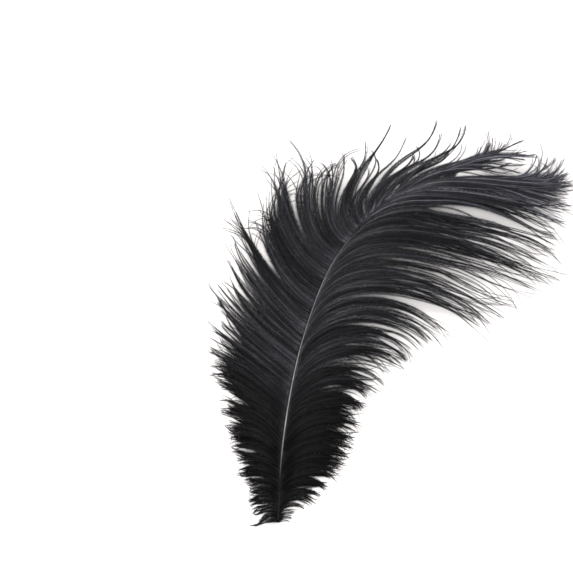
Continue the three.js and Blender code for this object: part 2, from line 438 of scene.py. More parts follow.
@dataclass
class Shaft:
    """The quill and the shaft, one curved and tapered horn rod, hollow at the cut end.

    Attributes:
        quill_radius: The radius of the quill.
        middle_radius: The radius half way along.
        end_radius: The radius at the far end.
        tapers_from: The place where the quill starts to taper.
        sides: How many sides the rod has.
        rings: How many rings it has.
        samples: How many points its centreline is worked out at.
        wall: How thick the wall is at the cut end.
        hollow_depth: How deep the hollow goes.
        hollow_end: The hollow's width at its end, as a share of that at its mouth.
        groove: The depth of the groove in the underside, as a share of the radius.
        groove_starts: The places between which the groove deepens.
        groove_power: How narrow the groove is.
        flatness: The rod's height, as a share of its width.
    """

    quill_radius: float = 0.95
    middle_radius: float = 0.48
    end_radius: float = 0.22
    tapers_from: float = 0.02
    sides: int = 16
    rings: int = 150
    samples: int = 2001
    wall: float = 0.35
    hollow_depth: float = 9.0
    hollow_end: float = 0.3
    groove: float = 0.45
    groove_starts: tuple[float, float] = (0.1, 0.25)
    groove_power: int = 6
    flatness: float = 0.9

    def __post_init__(self) -> None:
        """Samples the centreline finely, by its length."""
        last = len(SHAFT_LINE) - 1
        before_first = 2 * SHAFT_LINE[0] - SHAFT_LINE[1]
        after_last = 2 * SHAFT_LINE[-1] - SHAFT_LINE[-2]
        knots = np.concatenate([[before_first], SHAFT_LINE, [after_last]])
        u = np.linspace(0, last, self.samples)
        i = np.minimum(u.astype(int), last - 1)
        t = (u - i)[:, None]
        before, start, end, after = (knots[i + k] for k in range(4))
        slope_in, slope_out = (end - before) / 2, (after - start) / 2
        self.line = smooth_curve(start, end, slope_in, slope_out, t) + QUILL_END
        steps = np.linalg.norm(np.diff(self.line, axis=0), axis=1)
        self.run = np.concatenate([[0], np.cumsum(steps)])

    @property
    def length(self) -> float:
        """The length along the curve."""
        return float(self.run[-1])

    def at(self, places: np.ndarray) -> np.ndarray:
        """Points of the centreline at shares of its length."""
        return np.stack(
            [np.interp(places * self.length, self.run, self.line[:, k]) for k in range(3)], axis=-1
        )

    def ahead(self, places: np.ndarray) -> np.ndarray:
        """Directions along the shaft, towards its end."""
        step = 0.002
        way = self.at(np.minimum(places + step, 1)) - self.at(np.maximum(places - step, 0))
        return way / np.linalg.norm(way, axis=-1, keepdims=True)

    def radius(self, places: np.ndarray) -> np.ndarray:
        """Even along the quill, then thinner and thinner."""
        fall = smoothstep(places, self.tapers_from, 0.5)
        lower = self.quill_radius + (self.middle_radius - self.quill_radius) * fall
        upper = self.middle_radius + (self.end_radius - self.middle_radius) * (places - 0.5) / 0.5
        return np.where(places < 0.5, lower, upper)

    def build(self, finish: StainedHorn) -> None:
        """Extrudes the rod ring by ring, hollows its cut end and dresses it."""
        places = np.linspace(0, 1, self.rings)
        shape = bmesh.new()
        uv = shape.loops.layers.uv.new("OFBake")
        along = shape.verts.layers.float.new("along")
        crown = shape.verts.layers.float.new("crown")
        made = bmesh.ops.create_circle(shape, segments=self.sides, radius=1)
        ring = made["verts"]
        self._place_ring(ring, 0.0)
        first = ring
        edges = list({edge for vert in ring for edge in vert.link_edges})
        for place in places[1:]:
            grown = bmesh.ops.extrude_edge_only(shape, edges=edges)["geom"]
            before = ring
            ring = [vert for vert in grown if isinstance(vert, bmesh.types.BMVert)]
            edges = [edge for edge in grown if isinstance(edge, bmesh.types.BMEdge)]
            ring = self._in_order(before, ring)
            self._reset_ring(ring)
            for vert in ring:
                vert[along] = float(place)
                vert[crown] = vert.co.y
            self._place_ring(ring, float(place))
        bmesh.ops.contextual_create(shape, geom=edges)
        self._hollow(shape, first)
        bmesh.ops.recalc_face_normals(shape, faces=shape.faces)
        self._unwrap(shape, uv, along)
        bmesh.ops.scale(shape, vec=(MM, MM, MM), verts=shape.verts)
        mesh = bpy.data.meshes.new("shaft")
        shape.to_mesh(mesh)
        shape.free()
        mesh.shade_smooth()
        piece = bpy.data.objects.new("shaft", mesh)
        bpy.context.collection.objects.link(piece)
        mesh.materials.append(finish.material())
        report(piece)

    def _in_order(self, before: list, ring: list) -> list:
        """The new ring's vertices in the order of those that they grew from."""
        new = set(ring)
        return [
            next(edge.other_vert(old) for edge in old.link_edges if edge.other_vert(old) in new)
            for old in before
        ]

    def _reset_ring(self, ring: list) -> None:
        """Puts a ring back to a unit circle about the origin."""
        for k, vert in enumerate(ring):
            angle = 2 * math.pi * k / len(ring)
            vert.co = (math.cos(angle), math.sin(angle), 0)

    def _place_ring(self, ring: list, place: float) -> None:
        """Sizes a unit ring, presses the groove into its underside and sets it on the shaft."""
        shares = np.array([place])
        centre, ahead = self.at(shares)[0], Vector(self.ahead(shares)[0])
        radius = float(self.radius(shares)[0])
        across = Vector((ahead.y, -ahead.x, 0)).normalized()
        up = across.cross(ahead)
        depth = self.groove * float(smoothstep(place, *self.groove_starts))
        turn = Matrix((across, up, ahead)).transposed()
        for vert in ring:
            low = max(0.0, -vert.co.y) ** self.groove_power
            vert.co = turn @ Vector(
                (vert.co.x, self.flatness * vert.co.y + depth * low, 0)
            ) * radius + Vector(centre)

    def _hollow(self, shape: bmesh.types.BMesh, ring: list) -> None:
        """Closes the cut end, and sinks a narrowing hollow into it."""
        rim = list({e for v in ring for e in v.link_edges if e.is_boundary})
        cap = bmesh.ops.contextual_create(shape, geom=rim)["faces"]
        bmesh.ops.inset_region(shape, faces=cap, thickness=self.wall, use_even_offset=True)
        inward = Vector(self.ahead(np.array([0.0]))[0])
        sunk = bmesh.ops.extrude_face_region(shape, geom=cap)["geom"]
        bmesh.ops.delete(shape, geom=cap, context="FACES_ONLY")
        verts = [item for item in sunk if isinstance(item, bmesh.types.BMVert)]
        bmesh.ops.translate(shape, vec=inward * self.hollow_depth, verts=verts)
        middle = sum((vert.co for vert in verts), Vector()) / len(verts)
        shrink = Matrix.Scale(self.hollow_end, 4)
        narrow = Matrix.Translation(middle) @ shrink @ Matrix.Translation(-middle)
        bmesh.ops.transform(shape, matrix=narrow, verts=verts)

    def _unwrap(self, shape: bmesh.types.BMesh, uv: Any, along: Any) -> None:
        """A strip: round the shaft one way, and along it the other."""
        for face in shape.faces:
            for loop in face.loops:
                place = loop.vert[along]
                centre = self.at(np.array([place]))[0]
                off = loop.vert.co - Vector(centre)
                share = math.atan2(off.z, off.x) / (2 * math.pi) + 0.5
                loop[uv].uv = (share, place)


# ---- The barbs ------------------------------------------------------------------------------------


# The places on the shaft between which the barbs' nature changes, and how much it does at most.
FLUFF_ENDS = (0.12, 0.42)
LOW_WISPS, LOW_WISPS_END = 0.6, (0.015, 0.045)
BEND_WISPS_START, BEND_WISPS_END = (0.6, 0.7), (0.93, 0.96)
RIGHT_TOUSLED, RIGHT_TOUSLED_START = 0.45, (0.35, 0.5)
LEFT_TOUSLED_START = (0.42, 0.52)
LEFT_CALMED, LEFT_CALMED_START = 0.8, (0.64, 0.74)


def fluffiness(places: np.ndarray | float) -> np.ndarray:
    """1 on the downy barbs near the quill, and 0 from the middle of the shaft on."""
    return 1 - smoothstep(places, *FLUFF_ENDS)


def wispiness(side: Side, places: np.ndarray | float) -> np.ndarray:
    """How much barbs part in thin wisps: at the quill's end, and outside the shaft's bend."""
    lowest = LOW_WISPS * (1 - smoothstep(places, *LOW_WISPS_END))
    if side is Side.RIGHT:
        return lowest
    ends = 1 - smoothstep(places, *BEND_WISPS_END)
    return lowest + smoothstep(places, *BEND_WISPS_START) * ends


def tousled(side: Side, places: np.ndarray | float) -> np.ndarray:
    """How much the tips are ruffled across each other."""
    if side is Side.RIGHT:
        return RIGHT_TOUSLED * smoothstep(places, *RIGHT_TOUSLED_START)
    left = 1 - LEFT_CALMED * smoothstep(places, *LEFT_CALMED_START)
    return smoothstep(places, *LEFT_TOUSLED_START) * left


@dataclass(frozen=True)
class Parting:
    """A gap where neighbouring barbs have come apart.

    Attributes:
        side: The side of the shaft.
        place: Where on the shaft the barbs part.
        opens: Where along the barbs the gap starts.
        closes: Where along the barbs the gap ends.
        width: The gap's greatest width.
        spread: How far along the shaft barbs are pushed aside, as a share of its length.
        skew: How near its start the gap is widest: 1 is the middle, and less is nearer.
    """

    side: Side
    place: float
    opens: float
    closes: float
    width: float
    spread: float = 0.03
    skew: float = 0.8

    def push(self, places: np.ndarray) -> np.ndarray:
        """How hard barbs are pushed, from -1 just below the parting to 1 just above it."""
        off = places - self.place
        return np.sign(off) * np.exp(-np.abs(off) / self.spread)

    def openness(self, t: np.ndarray) -> np.ndarray:
        """How open the gap is at shares of a barb's length, from 0 to 1."""
        share = np.clip((t - self.opens) / (self.closes - self.opens), 0, 1)
        return np.sin(math.pi * share**self.skew)


PARTINGS = [
    Parting(Side.RIGHT, 0.69, 0.34, 0.88, 11.5),
    Parting(Side.LEFT, 0.94, 0.0, 1.3, 16.0),
    Parting(Side.RIGHT, 0.78, 0.2, 0.75, 4.0, 0.02),
    Parting(Side.RIGHT, 0.66, 0.35, 0.75, 4.0, 0.02),
    Parting(Side.RIGHT, 0.635, 0.5, 0.95, 6.5, 0.02),
    Parting(Side.RIGHT, 0.59, 0.55, 0.95, 5.0, 0.02),
    Parting(Side.RIGHT, 0.53, 0.6, 1.0, 3.5, 0.02),
    Parting(Side.RIGHT, 0.47, 0.7, 1.1, 2.0, 0.02),
]


@dataclass(frozen=True)
class Cling:
    """How a group of barbs draws together towards its tips.

    Attributes:
        grip: The least and most that the barbs are drawn together.
        starts: Where along the barbs the drawing together starts, at the least and most.
        ends: Where along the barbs it is complete, at the least and most.
        frays: How much of it the very tips lose, at the most.
        fray_span: Where along the barbs the fraying starts, and where it is full.
    """

    grip: tuple[float, float]
    starts: tuple[float, float]
    ends: tuple[float, float]
    frays: float
    fray_span: tuple[float, float] = (0.82, 1.0)

    def draw(
        self, lines: np.ndarray, group: np.ndarray, holds: np.ndarray, rng: np.random.Generator
    ) -> np.ndarray:
        """Draws the barbs of each group towards the group's middle line.

        Args:
            lines: The centrelines.
            group: The number of each barb's group.
            holds: How much each barb clings, from 0 to 1.
            rng: The source of unevenness.

        Returns:
            The new centrelines.
        """
        groups = group.max() + 1
        members = np.bincount(group, minlength=groups)
        total = np.zeros((groups, *lines.shape[1:]))
        np.add.at(total, group, lines)
        middle = (total / np.maximum(members, 1)[:, None, None])[group]
        strength = rng.uniform(*self.grip, groups)[group] * holds
        start = rng.uniform(*self.starts, groups)[group][:, None]
        end = rng.uniform(*self.ends, groups)[group][:, None]
        along = np.linspace(0, 1, lines.shape[1])
        pull = smoothstep(along, start, end) * strength[:, None]
        frays = self.frays * rng.random(groups)[group][:, None]
        pull = pull * (1 - frays * smoothstep(along, *self.fray_span))
        return lines + (middle - lines) * pull[..., None]


STRAND_CLING = Cling(grip=(0.7, 1.0), starts=(0.35, 0.65), ends=(0.75, 0.95), frays=0.2)
WISP_CLING = Cling(grip=(0.6, 0.95), starts=(0.3, 0.5), ends=(0.7, 0.95), frays=0.3)
LOCK_CLING = Cling(grip=(0.0, 0.3), starts=(0.5, 0.7), ends=(0.9, 1.1), frays=0.2)


@dataclass(frozen=True)
class Unevenness:
    """How much the strands and barbs differ.

    Lengths, grips and tones are shares. Turns, sways, hooks, ruffles and curls are in degrees,
    and lifts and ridges in mm. A pair named `_places` is where on the shaft something starts and
    is full, and a pair named `_span` is where along a barb.
    """

    longest: float = 1.04
    fluffy_longer: float = 0.05
    outer_longer: float = 0.04
    outer_places: tuple[float, float] = (0.55, 0.75)
    strand_length: float = 0.06
    barb_length: float = 0.1
    wisp_loss: float = 0.45

    fluffy_loose: float = 0.5
    stray_share: float = 0.1
    stray_turn: float = 9.0
    lock_turn: float = 0.6
    fluffy_lock_calm: float = 0.3
    strand_turn: float = 2.8
    barb_turn: float = 2.2
    crossing: float = 0.4
    crossing_places: tuple[float, float] = (0.4, 0.55)
    parting_calm: float = 0.7
    calm_reach: float = 0.02

    strand_sway: float = 5.0
    barb_sway: float = 3.0
    fluffy_sway: float = 9.0
    fluffy_strand_sway: float = 5.0
    steady_length: float = 60.0
    sway_waves: tuple[tuple[float, int], ...] = ((5.5, 1), (10.5, 2))
    sway_start: float = 1.5

    hook: float = 16.0
    hook_span: tuple[float, float] = (0.78, 1.0)
    barb_ruffle: float = 26.0
    strand_ruffle: float = 26.0
    left_ruffle: float = 1.6
    smooth_places: tuple[float, float] = (0.82, 0.9)
    ruffle_span: tuple[float, float] = (0.6, 1.0)
    left_end_hook: float = 60.0
    right_end_hook: float = 30.0
    end_hook_places: tuple[float, float] = (0.9, 0.97)
    end_hook_span: tuple[float, float] = (0.7, 1.0)
    curl: float = 9.0
    curl_span: tuple[float, float] = (0.72, 1.0)

    strand_lift: float = 0.6
    barb_lift: float = 0.35
    strand_ridge: float = 0.6
    lift_span: tuple[float, float] = (0.0, 0.3)

    strand_tone: float = 0.45
    barb_tone: float = 0.62
    tone_limits: tuple[float, float] = (0.25, 2.2)
    # The next three paint shade: darker barbs at a strand's edges, and on the fluffy barbs low down.
    edge_shade: float = 0.8
    edge_fall: float = 1.5
    low_shade: float = 0.85
    # The next three paint a sheen on the barbs towards the shaft's end.
    end_sheen: float = 3.2
    right_sheen_places: tuple[float, float] = (0.68, 0.82)
    left_sheen_places: tuple[float, float] = (0.7, 0.97)


@dataclass(frozen=True)
class Bundle:
    """The strands that lie along the shaft's end, some of them with a tip that turns up.

    Attributes:
        headings: The barbs' headings at HEADING_AT of their length.
        places: Two places on the shaft.
        lengths: The barbs' lengths at those places.
        starts: The places between which the bundle starts.
        ends: The places between which it ends.
        likely: How likely a strand is in it at its start, and how much more at its fullest.
        fills: The places between which it fills up.
        blur: How gradually strands change from fanning off to lying in it.
        hooked_share: The share of its strands whose tip turns up.
        hooked_turn: How far such a barb leaves it at HEADING_AT of its length.
        hooked_loss: How much shorter such a strand is at the most.
    """

    headings: tuple[float, ...] = (40.0, 20.0, 4.0, -2.0)
    places: tuple[float, float] = (0.76, 0.93)
    lengths: tuple[float, float] = (78.0, 50.0)
    starts: tuple[float, float] = (0.7, 0.78)
    ends: tuple[float, float] = (0.935, 0.95)
    likely: tuple[float, float] = (0.1, 0.28)
    fills: tuple[float, float] = (0.78, 0.84)
    blur: float = 0.5
    hooked_share: float = 0.45
    hooked_turn: tuple[float, ...] = (0, 0, 0.6, 1)
    hooked_loss: float = 0.35

    def shares(self, places: np.ndarray, chance: np.ndarray) -> np.ndarray:
        """How much each barb lies in the bundle.

        Args:
            places: The barbs' places on the shaft.
            chance: A random number from 0 to 1 for each barb.

        Returns:
            1 for a barb in the bundle, and less for one that fans off.
        """
        least, more = self.likely
        likely = least + more * smoothstep(places, *self.fills)
        share = np.clip((likely - chance) / self.blur + 1, 0, 1)
        near = smoothstep(places, *self.starts) * (1 - smoothstep(places, *self.ends))
        return share * near


@dataclass
class Fringe:
    """How one barb is made: a thin three-sided ramus with a comb of barbules on both sides.

    The `_span` pairs are where along the barb a change starts and is full.

    Attributes:
        root_width: The ramus's width at its root.
        root_flare: How much wider it flares where it leaves the shaft.
        flare_length: How fast that flare goes.
        tip_width: Its width near its tip.
        width_power: How late along it the width changes.
        thickness: Its height.
        root_rings: Its first rings, counted in barbules.
        even_from: The barbule from which its other rings stand evenly.
        rings: How many rings stand evenly.
        spacing: The distance between barbules.
        fewest: The least number of barbules on each side.
        barbule: A barbule's length, with its own for fluffy barbs and for wisps.
        barbule_range: The least and most that one differs from its neighbours.
        tousled_extra: How much longer barbules are where the left vane is tousled.
        short_share: The longest a barbule can be, as a share of the barb.
        wisp_short: How much less that share is for wisps.
        full_to: Where barbules start to get shorter, later for fluffy barbs by
            `fluffy_full`, and earlier for barbs as long as `long_barbs` by `long_bare`.
        worn: How much shorter they get by `worn_at`, and less for wisps by `wisp_worn`.
        ramus_sheen: How much lighter the ramus is than its barbules' roots: a painted sheen.
        root_sheen: How much lighter its own root is, from `root_sheen_places` on: more painted
            sheen.
        tip_shade: How light a barbule's tip is next to its root: painted shade.
        lean_degrees: How far barbules lean out at the barb's root, and at its tip.
        lean_spread: How much that differs.
        droop_degrees: How far barbules droop.
        lift_degrees: How much that differs.
        inset: How far out on the ramus barbules start, as a share of its half width.
        floor_gap: The least height of a barbule's tip.
    """

    root_width: float = 0.28
    root_flare: float = 0.35
    flare_length: float = 1.6
    tip_width: float = 0.2
    width_power: float = 0.7
    thickness: float = 0.2
    root_rings: tuple[int, ...] = (0, 6, 14)
    even_from: int = 24
    rings: int = 20
    spacing: float = 0.23
    fewest: int = 12
    barbule: float = 2.5
    fluffy_barbule: float = 3.3
    wisp_barbule: float = 1.5
    wisp_span: tuple[float, float] = (0.25, 0.5)
    barbule_range: tuple[float, float] = (0.65, 1.15)
    tousled_extra: float = 0.7
    short_share: float = 0.1
    wisp_short: float = 0.5
    grown_span: tuple[float, float] = (-0.01, 0.05)
    full_to: float = 0.46
    fluffy_full: float = 0.2
    long_bare: float = 0.16
    long_barbs: tuple[float, float] = (85.0, 115.0)
    worn: float = 0.82
    wisp_worn: float = 0.3
    worn_at: float = 0.96
    # The next three paint a sheen on the ramus and on its root.
    ramus_sheen: float = 3.9
    root_sheen: float = 4.0
    root_sheen_places: tuple[float, float] = (0.55, 0.72)
    tip_shade: float = 0.5
    lean_degrees: float = 46.0
    tip_lean_degrees: float = 26.0
    lean_spread: float = 9.0
    droop_degrees: float = 12.0
    lift_degrees: float = 15.0
    inset: float = 0.8
    floor_gap: float = 0.05

    def barbule_lengths(
        self, side: Side, place: float, length: float, t: np.ndarray
    ) -> np.ndarray:
        """How long the barbules are: longest low on the feather, and shorter to each tip.

        Args:
            side: The side of the shaft.
            place: The barb's place on the shaft.
            length: The barb's length.
            t: Shares of the barb's length.

        Returns:
            A length for each share.
        """
        fluffy = float(fluffiness(place))
        wispy = float(wispiness(side, place)) * smoothstep(t, *self.wisp_span)
        longest = self.barbule + (self.fluffy_barbule - self.barbule) * fluffy
        if side is Side.LEFT:
            longest += self.tousled_extra * float(tousled(side, place))
        longest = longest + (self.wisp_barbule - self.barbule) * wispy
        longest = np.minimum(longest, self.short_share * (1 - self.wisp_short * wispy) * length)
        grown = smoothstep(t, *self.grown_span)
        bare = self.long_bare * float(smoothstep(length, *self.long_barbs))
        full_to = self.full_to + self.fluffy_full * fluffy - bare
        worn = 1 - (self.worn - self.wisp_worn * wispy) * smoothstep(t, full_to, self.worn_at)
        return longest * grown * worn


# Across a barb's own strip of the UV map, from -1 to 1: its ramus's corners, and its barbules.
RAMUS_ACROSS = (-0.2, 0.2, 0.05)
BARBULE_ROOT_ACROSS, BARBULE_TIP_ACROSS = 0.25, 0.95


class Strip:
    """Gathers the vertices and triangles of many barbs for one joined mesh."""

    half_width = 0.45
    low_edge, height = 0.01, 0.98

    def __init__(self) -> None:
        """Starts empty."""
        self.verts: list[np.ndarray] = []
        self.faces: list[np.ndarray] = []
        self.uvs: list[np.ndarray] = []
        self.tones: list[np.ndarray] = []
        self.count = 0
        self.barbs = 0

    def take(self, verts: np.ndarray, faces: np.ndarray, uv: np.ndarray, tone: np.ndarray) -> None:
        """Adds a group of triangles.

        Args:
            verts: The corners.
            faces: Three corner numbers for each triangle.
            uv: For each corner, across the barb's own strip from -1 to 1, and along it.
            tone: How light each corner is.
        """
        self.verts.append(verts)
        self.faces.append(faces + self.count)
        self.uvs.append(np.column_stack([np.full(len(uv), self.barbs), uv]))
        self.tones.append(tone)
        self.count += len(verts)

    def mesh(self, name: str) -> bpy.types.Mesh:
        """The joined mesh, with its UV map and what its material reads."""
        verts = np.concatenate(self.verts) * MM
        faces = np.concatenate(self.faces)
        strips, across, along = np.concatenate(self.uvs).T
        u = (strips + 0.5 + self.half_width * across) / self.barbs
        mesh = bpy.data.meshes.new(name)
        mesh.vertices.add(len(verts))
        mesh.vertices.foreach_set("co", verts.ravel())
        mesh.loops.add(faces.size)
        mesh.loops.foreach_set("vertex_index", faces.ravel())
        mesh.polygons.add(len(faces))
        mesh.polygons.foreach_set("loop_start", np.arange(0, faces.size, 3))
        mesh.update(calc_edges=True)
        uv = np.column_stack([u, self.low_edge + self.height * along])[faces.ravel()]
        mesh.uv_layers.new(name="OFBake").data.foreach_set("uv", uv.ravel())
        for label, values in (("along", along), ("tone", np.concatenate(self.tones))):
            layer = mesh.attributes.new(label, "FLOAT", "POINT")
            layer.data.foreach_set("value", np.ascontiguousarray(values))
        mesh.validate()
        return mesh


@dataclass
class Vane:
    """The barbs on one side of the shaft.

    Its `bundled` says for each barb how much it lies in the bundle along the shaft's end, from 0
    to 1, and its `hooked` how much its tip turns up out of that bundle.

    Attributes:
        side: The side of the shaft.
        rows: How the barbs lie, as in the plan.
        locks: How many locks the barbs cling together in.
        barbs: How many barbs there are.
        zones: The places that part the vane into lower, middle and upper pieces.
        low_crowding: How much denser the barbs stand near the quill.
        quill_density: How dense they are at the very end, and how much denser past it.
        quill_places: The places between which they get that much denser.
        end_crowding: How much denser they stand at the shaft's end.
        end_places: The places between which they get that much denser.
        crowd_samples: How many places the density is worked out at.
        jitter: How far a barb strays from an even spacing, as a share of it.
        samples: How many points a barb's centreline has.
        strand_sizes: The least number of barbs in a strand, and one more than the most.
        root_out: How far out on the shaft barbs start, as a share of its radius.
        fluffy_root_in: How much less that is for fluffy barbs.
        root_down: How far below the shaft's middle they start, as a share of its radius.
        fluffy_root_up: How much higher fluffy barbs start.
        tousled_grip: How much strands cling where tousled, and how much more where calm.
        bundle_loose: How much less the wisps in the bundle cling.
        floor_gap: The least height of a centreline.
        uneven: How much the strands and barbs differ.
        bundle: The bundle along the shaft's end, which only the left vane has.
    """

    side: Side
    rows: np.ndarray
    locks: int
    barbs: int
    zones: tuple[float, float] = (0.42, 0.7)
    low_crowding: float = 1.3
    quill_density: tuple[float, float] = (0.55, 0.45)
    quill_places: tuple[float, float] = (0.01, 0.08)
    end_crowding: float = 1.4
    end_places: tuple[float, float] = (0.8, 0.98)
    crowd_samples: int = 513
    jitter: float = 0.35
    samples: int = 97
    strand_sizes: tuple[int, int] = (2, 6)
    root_out: float = 0.7
    fluffy_root_in: float = 0.3
    root_down: float = 0.1
    fluffy_root_up: float = 0.6
    tousled_grip: tuple[float, float] = (0.3, 0.7)
    bundle_loose: float = 0.5
    floor_gap: float = 0.25
    uneven: Unevenness = Unevenness()
    bundle: Bundle = Bundle()

    def __post_init__(self) -> None:
        """Places the barbs along the shaft, and groups them in strands and locks."""
        self.rng = np.random.default_rng(SEED + self.side.value)
        self.partings = [parting for parting in PARTINGS if parting.side is self.side]
        fine = np.linspace(0, 1, self.crowd_samples)
        least, more = self.quill_density
        dense = 1 + self.low_crowding * fluffiness(fine)
        dense *= least + more * smoothstep(fine, *self.quill_places)
        crowd = np.cumsum(dense + self.end_crowding * smoothstep(fine, *self.end_places))
        jitter = self.rng.uniform(-self.jitter, self.jitter, self.barbs)
        order = (np.arange(self.barbs) + 0.5 + jitter) / self.barbs
        self.places = np.interp(order, (crowd - crowd[0]) / (crowd[-1] - crowd[0]), fine)
        lock = np.floor(self.places ** (1 / LOCK_CROWDING) * self.locks).astype(int)
        self.lock = np.minimum(lock, self.locks - 1)
        sizes = self.rng.integers(*self.strand_sizes, self.barbs)
        strand = np.repeat(np.arange(self.barbs), sizes)[: self.barbs]
        start = np.cumsum(np.concatenate([[0], sizes]))[strand]
        self.spot = 2 * (np.arange(self.barbs) - start + 0.5) / sizes[strand] - 1
        parted = sum((self.places > parting.place).astype(int) for parting in self.partings)
        self.strand = strand + parted
        self.strands = int(self.strand[-1]) + 1
        self.clump = self.lock + parted
        strays = self.rng.random(self.barbs) < self.uneven.stray_share
        for parting in PARTINGS:
            strays &= np.abs(self.places - parting.place) > parting.spread
        loose = self.uneven.fluffy_loose * fluffiness(self.places)
        self.clings = np.where(strays, 0, 1 - loose)

    def by_lock(self, use: int) -> np.ndarray:
        """The locks' unevenness in one use, from -1 to 1, smoothly from lock to lock."""
        numbers = np.arange(self.locks)
        where = self.places ** (1 / LOCK_CROWDING) * self.locks - 0.5
        return np.interp(where, numbers, uneven(numbers + self.side.value, use))

    def by_strand(self, spread: float) -> np.ndarray:
        """A random number for each barb, the same within a strand."""
        return self.rng.normal(0, spread, self.strands)[self.strand]

    def by_barb(self, spread: float) -> np.ndarray:
        """A random number for each barb."""
        return self.rng.normal(0, spread, self.barbs)

    def by_chance(self) -> np.ndarray:
        """A random number from 0 to 1 for each barb, the same within a strand."""
        return self.rng.random(self.strands)[self.strand]

    def lines(self, shaft: Shaft) -> np.ndarray:
        """Works out every barb's centreline, from the shaft to the barb's tip."""
        rows = between_rows(self.rows, self.places)
        length = self._lengths(rows)
        t = np.linspace(0, 1, self.samples)
        xy = self._walk(self._headings(rows, (t[1:] + t[:-1]) / 2), length)
        centre, ahead = shaft.at(self.places), shaft.ahead(self.places)
        outwards = np.column_stack([ahead[:, 1], -ahead[:, 0]])
        if self.side is Side.LEFT:
            outwards = -outwards
        radius, fluffy = shaft.radius(self.places), fluffiness(self.places)
        out = (self.root_out - self.fluffy_root_in * fluffy) * radius
        root = centre[:, :2] + outwards * out[:, None]
        xy += root[:, None, :]
        xy += self._parted(xy, t)
        root_height = centre[:, 2] + (self.fluffy_root_up * fluffy - self.root_down) * radius
        z = self._heights(root_height, rows, length, t)
        lines = np.concatenate([xy, z[..., None]], axis=-1)
        calm = 1 - tousled(self.side, self.places)
        least, more = self.tousled_grip
        holds = self.clings * (least + more * calm)
        lines = STRAND_CLING.draw(lines, self.strand, holds, self.rng)
        wispy = wispiness(self.side, self.places)
        wisps = wispy * (1 - self.bundle_loose * self.bundled)
        lines = WISP_CLING.draw(lines, self.strand, self.clings * wisps, self.rng)
        lines = LOCK_CLING.draw(lines, self.clump, self.clings * (1 - wispy) * calm, self.rng)
        lines[..., 2] = np.maximum(lines[..., 2], self.floor_gap)
        return lines

    def _bundled(self) -> np.ndarray:
        """How much each barb lies in the bundle, from 0 to 1."""
        if self.side is Side.RIGHT:
            return np.zeros(self.barbs)
        return self.bundle.shares(self.places, self.by_chance())

    def _lengths(self, rows: np.ndarray) -> np.ndarray:
        """Every barb's length."""
        own = self.uneven
        self.bundled = self._bundled()
        self.hooked = self.bundled * (self.by_chance() < self.bundle.hooked_share)
        length = rows[:, 1] * (1 + LOCK_UNEVEN["length"] * uneven(self.lock + self.side.value, 2))
        length *= 1 + self.by_strand(own.strand_length)
        longest = own.longest + own.fluffy_longer * fluffiness(self.places)
        if self.side is Side.RIGHT:
            longest += own.outer_longer * smoothstep(self.places, *own.outer_places)
        length *= longest - np.abs(self.by_barb(own.barb_length))
        in_bundle = np.interp(self.places, self.bundle.places, self.bundle.lengths)
        length = length + (in_bundle * length / rows[:, 1] - length) * self.bundled
        alone = wispiness(self.side, self.places) * (1 - self.bundled)
        length *= 1 - own.wisp_loss * alone * self.by_chance()
        return length * (1 - self.bundle.hooked_loss * self.hooked * self.by_chance())

    def _beside(self) -> np.ndarray:
        """How near each barb is to a parting, from 0 to 1."""
        beside = np.zeros(self.barbs)
        for parting in self.partings:
            off = (self.places - parting.place) / self.uneven.calm_reach
            beside = np.maximum(beside, np.exp(-(off**2)))
        return beside

    def _headings(self, rows: np.ndarray, t: np.ndarray) -> np.ndarray:
        """Every barb's heading in degrees at each share of its length."""
        own = self.uneven
        knots = rows[:, 2:6].copy()
        leaves = self.bundle.hooked_turn
        pulled = np.stack([self.bundled - share * self.hooked for share in leaves], axis=-1)
        knots += (np.array(self.bundle.headings) - knots) * pulled
        weights = between_rows(np.column_stack([HEADING_AT, np.eye(4)]), t)[:, 1:]
        fluffy = fluffiness(self.places)
        calm = 1 - own.parting_calm * self._beside()
        lock_turn = own.lock_turn - own.fluffy_lock_calm * fluffy
        turn = LOCK_UNEVEN["heading"] * self.by_lock(3) * lock_turn
        crossing = 0
        if self.side is Side.RIGHT:
            crossing = own.crossing * smoothstep(self.places, *own.crossing_places)
        turn += self.by_strand(own.strand_turn) * (1 + crossing) * calm
        turn += self.by_barb(own.barb_turn)
        turn += np.where(self.clings == 0, self.by_barb(own.stray_turn), 0)
        heading = knots @ weights.T + turn[:, None] * t
        steady = own.steady_length / np.maximum(rows[:, 1], own.steady_length)
        for waves, power in own.sway_waves:
            sway = self.by_strand(1) * (own.strand_sway * steady + own.fluffy_strand_sway * fluffy)
            sway += self.by_barb(1) * (own.barb_sway * steady + own.fluffy_sway * fluffy)
            start = self.rng.uniform(0, own.sway_start, self.strands)[self.strand][:, None]
            heading += sway[:, None] * np.sin(waves * t + start) * t**power
        hook = self.by_barb(own.hook) * (1 + fluffy)
        heading += hook[:, None] * smoothstep(t, *own.hook_span)
        ruffle = self.by_barb(own.barb_ruffle) + self.by_strand(own.strand_ruffle)
        smooth = 1 - smoothstep(self.places, *own.smooth_places)
        ruffle *= tousled(self.side, self.places) * smooth
        ruffle *= calm * (own.left_ruffle if self.side is Side.LEFT else 1)
        heading += ruffle[:, None] * smoothstep(t, *own.ruffle_span)
        hook = own.left_end_hook if self.side is Side.LEFT else own.right_end_hook
        ending = np.abs(self.by_strand(hook)) * smoothstep(self.places, *own.end_hook_places)
        heading += ending[:, None] * smoothstep(t, *own.end_hook_span)
        if self.side is Side.LEFT:
            curls = wispiness(self.side, self.places) * np.abs(self.by_strand(own.curl))
            heading += (curls * (1 - self.bundled))[:, None] * smoothstep(t, *own.curl_span)
        return heading

    def _walk(self, heading: np.ndarray, length: np.ndarray) -> np.ndarray:
        """Points of each barb, seen from above, as it goes from its root by its headings."""
        step = (length / heading.shape[1])[:, None]
        radians = np.radians(heading)
        moves = np.stack([np.cos(radians) * step, np.sin(radians) * step], axis=-1)
        return np.concatenate([np.zeros((self.barbs, 1, 2)), np.cumsum(moves, axis=1)], axis=1)

